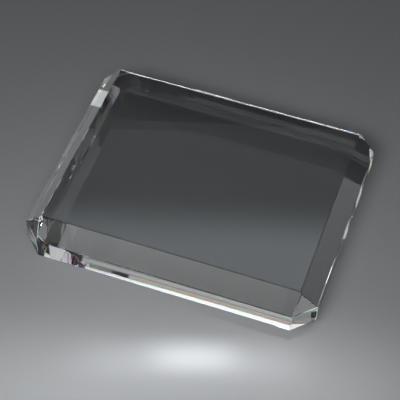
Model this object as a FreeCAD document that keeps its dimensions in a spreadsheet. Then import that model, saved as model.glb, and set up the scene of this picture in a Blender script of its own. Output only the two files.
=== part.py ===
import FreeCAD, Part
import math
import os
import Sketcher

# Crystal award: one rectangular block of clear optical crystal, ground and
# polished on every face.  It lies on its back face.
#
# Frame: +X along the long side, +Y along the short side, +Z out of the front
# (engraving) face.  The origin is the centre of the back face.
#
# Every face is a flat:
#   front and back face      the two large parallel rectangles
#   end and side walls       the vertical band around the middle of the edge
#   end and side bevels      45 degree flats from each wall to each large face
#   corner walls             the vertical flats that clip the four corners
#   corner facets            steep triangles from a corner wall up the mitre,
#                            stopping just short of the large face's corner
# The real edges are broken by polished arrises about a quarter of a
# millimetre wide.  They are too fine to matter here, so the edges are sharp.

doc = FreeCAD.newDocument("crystal_award")

# ---------------------------------------------------------------- dimensions
sheet = doc.addObject("Spreadsheet::Sheet", "dims")
rows = [
    ("block_length", 120.0, "overall, along X"),
    ("block_width", 100.0, "overall, along Y"),
    ("bevel_inset", 7.3, "how far a bevel reaches in over the large face"),
    ("bevel_depth", 7.3, "how far a bevel reaches down the edge"),
    ("wall_height", 8.6, "vertical band between front and back bevel"),
    ("corner_clip", 8.0, "length taken off each side at a corner"),
    ("facet_tip", 6.64, "tip of a corner facet, in from both sides"),
]
value = {}
for n, (alias, number, note) in enumerate(rows, start=1):
    sheet.set("A%d" % n, alias)
    sheet.set("B%d" % n, repr(number))
    sheet.set("C%d" % n, note)
    sheet.setAlias("B%d" % n, alias)
    value[alias] = number
doc.recompute()

HALF_L = "dims.block_length / 2"
HALF_W = "dims.block_width / 2"
THICK = "(2 * dims.bevel_depth + dims.wall_height)"


LENGTH, WIDTH = value["block_length"], value["block_width"]
INSET, DEPTH = value["bevel_inset"], value["bevel_depth"]
WALL, CLIP, TIP = (value["wall_height"], value["corner_clip"],
                   value["facet_tip"])
TOP = 2 * DEPTH + WALL


# ------------------------------------------------------------------ helpers
def plane(body, role):
    for feature in body.Origin.OriginFeatures:
        if feature.Role == role:
            return feature
    raise RuntimeError("no plane " + role)


def attach(body, name, role, turn=None):
    sketch = body.newObject("Sketcher::SketchObject", name)
    sketch.AttachmentSupport = [(plane(body, role), "")]
    sketch.MapMode = "FlatFace"
    if turn is not None:
        # turned about the body's Z axis, which is the sketch's own Y axis
        sketch.AttachmentOffset = FreeCAD.Placement(
            FreeCAD.Vector(0, 0, 0),
            FreeCAD.Rotation(FreeCAD.Vector(0, 1, 0), turn))
    return sketch


def outline(sketch, corners):
    """One closed outline.  A corner is (x, y, x expression, y expression)."""
    first = sketch.GeometryCount
    count = len(corners)
    for i in range(count):
        a, b = corners[i], corners[(i + 1) % count]
        sketch.addGeometry(Part.LineSegment(
            FreeCAD.Vector(a[0], a[1], 0), FreeCAD.Vector(b[0], b[1], 0)),
            False)
    for i in range(count):
        sketch.addConstraint(Sketcher.Constraint(
            "Coincident", first + i, 2, first + (i + 1) % count, 1))
    for i, corner in enumerate(corners):
        for kind, number, text in (("DistanceX", corner[0], corner[2]),
                                   ("DistanceY", corner[1], corner[3])):
            index = sketch.addConstraint(Sketcher.Constraint(
                kind, -1, 1, first + i, 1, number))
            sketch.setExpression("Constraints[%d]" % index, text)


def settle(what):
    doc.recompute()
    shape = what.Shape
    if shape.isNull() or not shape.isValid() or len(shape.Solids) != 1:
        raise RuntimeError("%s did not make one valid solid" % what.Name)
    return shape.Volume


# --------------------------------------------------------------- the block
body = doc.addObject("PartDesign::Body", "crystal_block")
body.Label = "crystal_block"

# the sawn blank: length x width x full thickness
plan = attach(body, "plan", "XY_Plane")
outline(plan, [
    (-LENGTH / 2, -WIDTH / 2, "-" + HALF_L, "-" + HALF_W),
    (LENGTH / 2, -WIDTH / 2, HALF_L, "-" + HALF_W),
    (LENGTH / 2, WIDTH / 2, HALF_L, HALF_W),
    (-LENGTH / 2, WIDTH / 2, "-" + HALF_L, HALF_W),
])
blank = body.newObject("PartDesign::Pad", "blank")
blank.Profile = plan
blank.setExpression("Length", THICK)
body.Tip = blank
volume = settle(blank)
print("blank %.1f mm3" % volume)


def bevel_pair(prefix, role, half, half_text, mirror_role):
    """Front and back bevel on one edge, then the same on the edge opposite."""
    global volume
    over = 2.0                      # the cutter stands this far off the blank
    ratio = INSET / DEPTH
    ratio_text = "dims.bevel_inset / dims.bevel_depth"
    sketch = attach(body, prefix + "_profile", role)
    far = half + over
    far_text = "%s + %g" % (half_text, over)
    slip_up = INSET + over * ratio
    # front bevel, then back bevel: each flat runs on past the blank
    for base, sign, base_text in ((TOP, 1, THICK), (0.0, -1, "0")):
        z_lo = base - sign * (DEPTH + over / ratio)
        z_hi = base + sign * over
        outline(sketch, [
            (far, z_lo, far_text, "%s - (%d) * (dims.bevel_depth + %g / (%s))"
             % (base_text, sign, over, ratio_text)),
            (far, z_hi, far_text, "%s + (%d) * %g" % (base_text, sign, over)),
            (half - slip_up, z_hi,
             "%s - dims.bevel_inset - %g * %s" % (half_text, over, ratio_text),
             "%s + (%d) * %g" % (base_text, sign, over)),
        ])
    cut = body.newObject("PartDesign::Pocket", prefix + "s")
    cut.Profile = sketch
    cut.Midplane = True
    cut.Type = "Length"
    cut.setExpression("Length", "2 * dims.block_length")
    body.Tip = cut
    after = settle(cut)
    print("%s cut %.1f mm3" % (prefix, volume - after))
    if volume - after < 1.0:
        raise RuntimeError(prefix + " cut nothing")
    one = volume - after
    mirrored = body.newObject("PartDesign::Mirrored", prefix + "s_opposite")
    mirrored.Originals = [cut]
    mirrored.MirrorPlane = (plane(body, mirror_role), [""])
    body.Tip = mirrored
    both = settle(mirrored)
    if abs((after - both) - one) > 1.0:
        raise RuntimeError(prefix + " mirror is wrong")
    volume = both


bevel_pair("end_bevel", "XZ_Plane", LENGTH / 2, HALF_L, "YZ_Plane")
bevel_pair("side_bevel", "YZ_Plane", WIDTH / 2, HALF_W, "XZ_Plane")

# the corners: a vertical wall and two facets, cut square to the mitre
corner = attach(body, "corner_profile", "XZ_Plane", 45)
SUM_TEXT = "(dims.block_length / 2 + dims.block_width / 2)"
SUM = LENGTH / 2 + WIDTH / 2
ROOT = math.sqrt(2.0)
wall_u = (SUM - CLIP) / ROOT
wall_text = "(%s - dims.corner_clip) / sqrt(2)" % SUM_TEXT
tip_u = (SUM - 2 * TIP) / ROOT
tip_text = "(%s - 2 * dims.facet_tip) / sqrt(2)" % SUM_TEXT
tip_rise = TIP * DEPTH / INSET
rise_text = "dims.facet_tip * dims.bevel_depth / dims.bevel_inset"
# the facet's line is run on until it is clear of the face
RUN = 1.4
end_u = wall_u + RUN * (tip_u - wall_u)
end_text = "%s + %g * (%s - %s)" % (wall_text, RUN, tip_text, wall_text)
out_u = SUM / ROOT + 5
out_text = "%s / sqrt(2) + 5" % SUM_TEXT
front_z = TOP - DEPTH
front_text = "%s - dims.bevel_depth" % THICK
outline(corner, [
    (wall_u, DEPTH, wall_text, "dims.bevel_depth"),
    (end_u, DEPTH - RUN * tip_rise, end_text,
     "dims.bevel_depth - %g * %s" % (RUN, rise_text)),
    (out_u, DEPTH - RUN * tip_rise, out_text,
     "dims.bevel_depth - %g * %s" % (RUN, rise_text)),
    (out_u, front_z + RUN * tip_rise, out_text,
     "%s + %g * %s" % (front_text, RUN, rise_text)),
    (end_u, front_z + RUN * tip_rise, end_text,
     "%s + %g * %s" % (front_text, RUN, rise_text)),
    (wall_u, front_z, wall_text, front_text),
])
corner_cut = body.newObject("PartDesign::Pocket", "corner_cut")
corner_cut.Profile = corner
corner_cut.Midplane = True
corner_cut.Type = "Length"
corner_cut.setExpression("Length", "dims.block_length / 2")
body.Tip = corner_cut
after = settle(corner_cut)
one = volume - after
print("one corner cut %.2f mm3" % one)
if one < 1.0:
    raise RuntimeError("the corner cut nothing")

corners = body.newObject("PartDesign::MultiTransform", "corner_cuts")
corners.Originals = [corner_cut]
across = body.newObject("PartDesign::Mirrored", "across_ends")
across.MirrorPlane = (plane(body, "YZ_Plane"), [""])
along = body.newObject("PartDesign::Mirrored", "across_sides")
along.MirrorPlane = (plane(body, "XZ_Plane"), [""])
corners.Transformations = [across, along]
body.Tip = corners
all_cut = settle(corners)
if abs((volume - all_cut) - 4 * one) > 0.5:
    raise RuntimeError("the corner cuts do not match: %.2f"
                       % (volume - all_cut))
volume = all_cut
print("corners cut, %d faces" % len(body.Shape.Faces))
doc.recompute()

# ------------------------------------------------------------------- checks
for thing in doc.Objects:
    if "Invalid" in thing.State or "Error" in thing.State:
        raise RuntimeError("%s failed: %s" % (thing.Name, thing.State))

os.makedirs("parts", exist_ok=True)
for thing in doc.Objects:
    if thing.TypeId != "PartDesign::Body":
        continue
    shape = thing.Shape
    if shape.isNull() or not shape.isValid() or len(shape.Solids) != 1:
        raise RuntimeError("%s is not one valid solid" % thing.Label)
    box = shape.BoundBox
    print("%s %.2f x %.2f x %.2f mm, %.1f mm3, %d faces" % (
        thing.Label, box.XLength, box.YLength, box.ZLength, shape.Volume,
        len(shape.Faces)))
    shape.exportStep("parts/%s.step" % thing.Label)
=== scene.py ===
import math

import bmesh
import bpy
import numpy as np
from mathutils import Matrix, Vector


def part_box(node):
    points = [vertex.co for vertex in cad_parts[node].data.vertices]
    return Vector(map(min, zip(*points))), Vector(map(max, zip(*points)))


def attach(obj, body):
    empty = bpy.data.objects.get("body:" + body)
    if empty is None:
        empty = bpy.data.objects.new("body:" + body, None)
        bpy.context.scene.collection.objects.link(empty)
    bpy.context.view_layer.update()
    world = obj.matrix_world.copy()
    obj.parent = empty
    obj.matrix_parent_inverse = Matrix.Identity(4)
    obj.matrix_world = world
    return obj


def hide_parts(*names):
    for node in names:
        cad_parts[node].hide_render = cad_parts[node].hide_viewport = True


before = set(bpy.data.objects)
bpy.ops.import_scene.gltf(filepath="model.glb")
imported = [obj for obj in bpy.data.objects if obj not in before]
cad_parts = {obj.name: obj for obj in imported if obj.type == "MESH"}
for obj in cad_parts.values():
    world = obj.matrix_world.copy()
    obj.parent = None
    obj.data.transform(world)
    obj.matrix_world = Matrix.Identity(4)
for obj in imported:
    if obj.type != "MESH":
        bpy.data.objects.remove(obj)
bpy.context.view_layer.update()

scene = bpy.context.scene
MM = 0.001

# ------------------------------------------------------------ the CAD block
lo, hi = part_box("crystal_block")
HALF_L, HALF_W, TOP = hi.x, hi.y, hi.z
INSET, DEPTH = 7.3 * MM, 7.3 * MM      # bevel over the face, bevel down the edge
CLIP, TIP = 8.0 * MM, 6.64 * MM        # clipped corner, tip of the corner facet
ARRIS = 0.30 * MM                      # polished arris on every edge


def flats():
    """(outward normal, point) of each of the block's 26 flats."""
    out = [(Vector((0, 0, 1)), Vector((0, 0, TOP))),
           (Vector((0, 0, -1)), Vector((0, 0, 0)))]
    for s in (1, -1):
        out.append((Vector((s, 0, 0)), Vector((s * HALF_L, 0, 0))))
        out.append((Vector((0, s, 0)), Vector((0, s * HALF_W, 0))))
        for z, up in ((TOP - DEPTH, 1), (DEPTH, -1)):
            out.append((Vector((s * DEPTH, 0, up * INSET)).normalized(),
                        Vector((s * HALF_L, 0, z))))
            out.append((Vector((0, s * DEPTH, up * INSET)).normalized(),
                        Vector((0, s * HALF_W, z))))
    for sx in (1, -1):
        for sy in (1, -1):
            a = Vector((sx * (HALF_L - CLIP), sy * HALF_W, 0))
            out.append((Vector((sx, sy, 0)).normalized(), a))
            for z, up in ((TOP - DEPTH, 1), (DEPTH, -1)):
                p = Vector((sx * (HALF_L - CLIP), sy * HALF_W, z))
                q = Vector((sx * HALF_L, sy * (HALF_W - CLIP), z))
                tip = Vector((sx * (HALF_L - TIP), sy * (HALF_W - TIP),
                              z + up * TIP * DEPTH / INSET))
                n = (q - p).cross(tip - p).normalized()
                if n.dot(Vector((sx, sy, 0))) < 0:
                    n = -n
                out.append((n, p))
    return out


def corners_of(planes, slack=2e-8):
    """Every corner of the convex solid that the flats enclose, as an array."""
    n = np.array([p[0][:] for p in planes])
    d = np.array([p[0].dot(p[1]) for p in planes])
    found = []
    for i in range(len(n) - 2):
        for j in range(i + 1, len(n) - 1):
            line = np.cross(n[i], n[j])
            if line @ line < 1e-8:
                continue
            k = np.arange(j + 1, len(n))
            det = n[k] @ line
            k, det = k[abs(det) > 1e-6], det[abs(det) > 1e-6]
            if not len(k):
                continue
            p = (d[i] * np.cross(n[j], n[k]) + d[j] * np.cross(n[k], n[i])
                 + d[k, None] * line) / det[:, None]
            found.append(p[(p @ n.T <= d + slack).all(1)])
    found = np.concatenate(found)
    keep = []
    for p in found:
        if all(((p - q) ** 2).sum() > 1e-13 for q in keep):
            keep.append(p)
    return np.array(keep), n, d


def facets_of(planes):
    """(corners, facets): each flat's corners in order round its normal."""
    pts, n, d = corners_of(planes)
    facets = []
    for normal, dist in zip(n, d):
        on = np.where(abs(pts @ normal - dist) < 6e-7)[0]
        if len(on) < 3:
            facets.append([])
            continue
        mid = pts[on].mean(0)
        u = pts[on[0]] - mid
        u = u - (u @ normal) * normal
        u /= np.linalg.norm(u)
        v = np.cross(normal, u)
        angle = np.arctan2((pts[on] - mid) @ v, (pts[on] - mid) @ u)
        facets.append([int(x) for x in on[np.argsort(angle)]])
    return pts, facets


def arrises(planes):
    """A narrow flat across each edge of the solid, all of one width."""
    pts, facets = facets_of(planes)
    owner = {}
    extra = []
    for f, ring in enumerate(facets):
        for a, b in zip(ring, ring[1:] + ring[:1]):
            owner.setdefault(frozenset((a, b)), []).append(f)
    for pair, (f, g) in sorted(
            ((tuple(sorted(k)), v) for k, v in owner.items()
             if len(v) == 2)):
        n0, n1 = planes[f][0], planes[g][0]
        sink = 0.5 * ARRIS * math.tan(n0.angle(n1) / 2)
        normal = (n0 + n1).normalized()
        extra.append((normal, Vector(pts[pair[0]]) - normal * sink))
    return extra


def crystal_mesh(name):
    planes = flats()
    planes += arrises(planes)
    pts, facets = facets_of(planes)
    mesh = bpy.data.meshes.new(name)
    mesh.from_pydata([tuple(p) for p in pts], [], facets)
    bm = bmesh.new()
    bm.from_mesh(mesh)
    bad = [e for e in bm.edges if len(e.link_faces) != 2]
    print("crystal mesh:", len(bm.faces), "facets,", len(bm.verts),
          "corners,", len(bad), "open edges,", "%.1f mm3"
          % (bm.calc_volume() * 1e9), "shortest edge %.4f mm"
          % (min(e.calc_length() for e in bm.edges) * 1e3))
    bm.free()
    return mesh


# --------------------------------------------------------------- material
INDEX = 1.517                          # K9 optical crystal
SPREAD = 0.008                         # how far red and blue part from that


def new_material(name):
    m = bpy.data.materials.new(name)
    m.use_nodes = True
    nt = m.node_tree
    for n in list(nt.nodes):
        nt.nodes.remove(n)
    return m, nt, nt.nodes.new("ShaderNodeOutputMaterial")


def plain_glass(nt, roughness=0.0):
    glass = nt.nodes.new("ShaderNodeBsdfPrincipled")
    glass.inputs["Base Color"].default_value = (1, 1, 1, 1)
    glass.inputs["Transmission Weight"].default_value = 1.0
    glass.inputs["IOR"].default_value = INDEX
    glass.inputs["Roughness"].default_value = roughness
    return glass


def crystal_material():
    m, nt, out = new_material("optical_crystal")
    nt.links.new(plain_glass(nt).outputs[0], out.inputs["Surface"])
    return m


def prism_material():
    """The cut edges part the colours: light that enters through them bends
    by a slightly different index for red, green and blue."""
    m, nt, out = new_material("cut_edge_crystal")
    last = None
    for colour, index in (((1, 0, 0), INDEX - SPREAD * 0.6),
                          ((0, 1, 0), INDEX),
                          ((0, 0, 1), INDEX + SPREAD)):
        one = nt.nodes.new("ShaderNodeBsdfGlass")
        one.inputs["Color"].default_value = (*colour, 1)
        one.inputs["Roughness"].default_value = 0.0
        one.inputs["IOR"].default_value = index
        if last is None:
            last = one
        else:
            add = nt.nodes.new("ShaderNodeAddShader")
            nt.links.new(last.outputs[0], add.inputs[0])
            nt.links.new(one.outputs[0], add.inputs[1])
            last = add
    mix = nt.nodes.new("ShaderNodeMixShader")
    mix.inputs[0].default_value = 0.3
    nt.links.new(plain_glass(nt).outputs[0], mix.inputs[1])
    nt.links.new(last.outputs[0], mix.inputs[2])
    nt.links.new(mix.outputs[0], out.inputs["Surface"])
    return m


block = bpy.data.objects.new("polished_block", crystal_mesh("polished_block"))
scene.collection.objects.link(block)
block.data.materials.append(crystal_material())
block.data.materials.append(prism_material())
LARGE = len(flats())
for poly in block.data.polygons:
    if 2 <= poly.index < LARGE and abs(poly.normal.z) < 0.01:
        poly.material_index = 1
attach(block, "root")
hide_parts("crystal_block")

# ----------------------------------------------------------- floor and light
GAP = 0.0


def plain(name, colour, roughness=0.6):
    m = bpy.data.materials.new(name)
    m.use_nodes = True
    b = m.node_tree.nodes["Principled BSDF"]
    b.inputs["Base Color"].default_value = (*colour, 1)
    b.inputs["Roughness"].default_value = roughness
    return m


def sheet_mesh(name, x, y, centre):
    bm = bmesh.new()
    bmesh.ops.create_grid(bm, x_segments=1, y_segments=1, size=0.5)
    bmesh.ops.scale(bm, verts=bm.verts, vec=(x, y, 1))
    mesh = bpy.data.meshes.new(name)
    bm.to_mesh(mesh)
    bm.free()
    o = bpy.data.objects.new(name, mesh)
    o.location = centre
    scene.collection.objects.link(o)
    return o


floor = sheet_mesh("floor", 6.0, 6.0, (0, 0, -GAP - 0.00002))
floor.data.materials.append(plain("floor_paper", (0.72, 0.725, 0.735)))


def only_for(light, thing):
    """Flag a light off from everything but one object."""
    name = "lit_" + thing.name
    group = bpy.data.collections.get(name) or bpy.data.collections.new(name)
    if thing.name not in group.objects:
        group.objects.link(thing)
    light.light_linking.receiver_collection = group


def area_light(name, location, turn, size_x, size_y, watts, colour):
    data = bpy.data.lights.new(name, "AREA")
    data.shape = "RECTANGLE"
    data.size, data.size_y = size_x, size_y
    data.energy = watts
    data.color = colour
    o = bpy.data.objects.new(name, data)
    o.location = location
    o.rotation_mode = "QUATERNION"
    o.rotation_quaternion = turn
    scene.collection.objects.link(o)
    return o


def toward(direction):
    """The direction (az from +Y towards +X, el) as a vector."""
    az, el = (math.radians(a) for a in direction)
    return Vector((math.sin(az) * math.cos(el), math.cos(az) * math.cos(el),
                   math.sin(el)))


def softbox(name, direction, distance, size_x, size_y, radiance,
            colour=(1, 1, 1)):
    """A rectangular softbox that faces the block."""
    d = toward(direction)
    return area_light(name, d * distance + Vector((0, 0, TOP / 2)),
                      d.to_track_quat("Z", "Y"), size_x, size_y,
                      radiance * math.pi * size_x * size_y, colour)


def card(name, direction, width, height, radiance, colour=(0.95, 0.98, 1),
         ramp=None, far=2.0):
    """A white card that only the crystal sees; width and height in degrees.
    ramp = (from, to, least): over that share of its height it brightens
    from the least share of its radiance to all of it."""
    x, y = (2 * far * math.tan(math.radians(a) / 2) for a in (width, height))
    o = softbox(name, direction, far, x, y, radiance, colour)
    only_for(o, block)
    if ramp:
        o.data.use_nodes = True
        nt = o.data.node_tree
        emission = next(n for n in nt.nodes if n.type == "EMISSION")
        place = nt.nodes.new("ShaderNodeNewGeometry")
        split = nt.nodes.new("ShaderNodeSeparateXYZ")
        rise = nt.nodes.new("ShaderNodeMapRange")
        rise.interpolation_type = "SMOOTHSTEP"
        for socket, value in zip(("From Min", "From Max", "To Min"), ramp):
            rise.inputs[socket].default_value = value
        nt.links.new(place.outputs["Parametric"], split.inputs[0])
        nt.links.new(split.outputs["Y"], rise.inputs["Value"])
        nt.links.new(rise.outputs["Result"], emission.inputs["Strength"])
    return o


def near_card(name, centre, direction, width, height, radiance, spread=180):
    """A small white card close to the crystal, which only it sees; sizes in m."""
    d = toward(direction)
    o = area_light(name, Vector(centre), d.to_track_quat("Z", "Y"), width,
                   height, radiance * math.pi * width * height, COOL)
    o.data.spread = math.radians(spread)
    only_for(o, block)


def pool(name, x, y, length, breadth, watts, spread):
    """A soft oval pool of light on the floor, from a lamp right above it."""
    o = area_light(name, Vector((x, y, 0.30)),
                   Matrix.Rotation(math.radians(19), 3, "Z").to_quaternion(),
                   length, breadth, watts, COOL)
    o.data.shape = "ELLIPSE"
    o.data.spread = math.radians(spread)
    only_for(o, floor)


COOL = (0.965, 0.985, 1.0)

# The cards stand where the facets, looked into, see out of the block.
card("back_card", (-17, 51.6), 18, 9.8, 1.15, (0.88, 0.96, 1.0),
     ramp=(0.36, 0.65, 0.19))
card("far_low_card", (-11, 14), 70, 12, 0.63)
card("front_fill_card", (-168.5, 34), 9, 6, 0.40, (1.0, 0.92, 0.80))
card("left_fill_card", (-159.5, 33.5), 4, 5, 0.17)
card("low_left_card", (-140, 8), 12, 8, 1.1)
card("right_back_card", (56, 15), 16, 8, 0.5)
card("right_bevel_card", (-42.5, 29), 9, 22, 0.9)
card("left_bevel_card", (28.5, 46.5), 9, 10, 1.0)
# Small ones that only the arrises and the clipped corners catch.
card("arris_card_1", (-12, 2.6), 36, 4, 11.0)
card("arris_card_2", (-41, 55), 4, 4, 0.6)
card("arris_card_3", (20, 38), 4, 4, 0.8)
card("arris_card_4", (125, 6), 9, 11, 0.9)
card("arris_card_5", (168, 5.2), 6, 4, 0.8)
card("arris_card_6", (-84, 31), 8, 6, 0.5)
card("arris_card_7", (-68, 15), 8, 6, 0.8)
card("arris_card_8", (-155, 26), 6, 6, 0.5)
card("corner_card", (115, 0.8), 8, 4, 3.8, far=0.5)
# Low cards along the left side, mirrored in the bevel that is seen aslant.
near_card("left_near_card", (-0.090, 0.010, 0.0085), (-90, 0), 0.140, 0.013, 0.42)
near_card("left_near_patch", (-0.0895, 0.0565, 0.0085), (-90, 0), 0.0105, 0.013,
          1.8)
# And one close behind, which the left end of the long wall looks through to.
near_card("back_near_card", (-0.0155, 0.058, 0.0065), (0, 0), 0.017, 0.010, 0.45)
# And a few slips of card under the far overhang, one behind the other, which the
# upper half of the long wall shows.
for i, (y, tall) in enumerate(((0.0431, 0.00033), (0.0436, 0.00083),
                               (0.0443, 0.0015), (0.046, 0.0023))):
    near_card("overhang_card_%d" % (i + 1), (0.0, y, tall / 2 + 0.00002), (0, 0),
              0.104, tall, 0.09, 90)

only_for(softbox("front_softbox", (172, 50), 1.8, 1.6, 0.6, 1.4, COOL), floor)
place, aim = Vector((0.02, -0.42, 0.35)), Vector((0.02, -0.20, 0.0))
low_front = area_light("low_front_softbox", place,
                       (place - aim).to_track_quat("Z", "Y"), 0.40, 0.25,
                       0.15, COOL)
low_front.data.shape = "ELLIPSE"
low_front.data.spread = math.radians(52)
only_for(low_front, floor)
pool("pool_core", 0.020, -0.069, 0.035, 0.006, 0.0004, 4)
pool("pool_mid", 0.020, -0.071, 0.09, 0.008, 0.0007, 5)
pool("pool_glow", 0.020, -0.082, 0.18, 0.030, 0.0045, 14)

world = bpy.data.worlds.new("studio")
world.use_nodes = True
world.node_tree.nodes["Background"].inputs["Color"].default_value = (0.018, 0.020, 0.022, 1)
world.node_tree.nodes["Background"].inputs["Strength"].default_value = 1.0
scene.world = world

# ------------------------------------------------------------------- camera
# The lens and place that match the picture's perspective on the block.
FOCAL_PX = 1403.57
cam_data = bpy.data.cameras.new("camera")
cam_data.sensor_width = 36.0
cam_data.lens = FOCAL_PX / 400 * 36.0
cam_data.clip_start, cam_data.clip_end = 0.01, 60.0
cam = bpy.data.objects.new("camera", cam_data)
right = Vector((0.94444271, 0.32742804, 0.02861544))
down = Vector((0.26901913, -0.72006566, -0.63963595))
forward = Vector((-0.18882975, 0.61179761, -0.76814517))
turn = Matrix((right, -down, -forward)).transposed()
cam.matrix_world = Matrix.Translation(
    Vector((0.10718, -0.35235, 0.42522 + TOP))) @ turn.to_4x4()
scene.collection.objects.link(cam)
scene.camera = cam

scene.cycles.max_bounces = 24
scene.cycles.transmission_bounces = 24
scene.cycles.glossy_bounces = 16
scene.cycles.diffuse_bounces = 4
scene.cycles.caustics_refractive = True
scene.cycles.caustics_reflective = True
scene.view_settings.view_transform = "Standard"
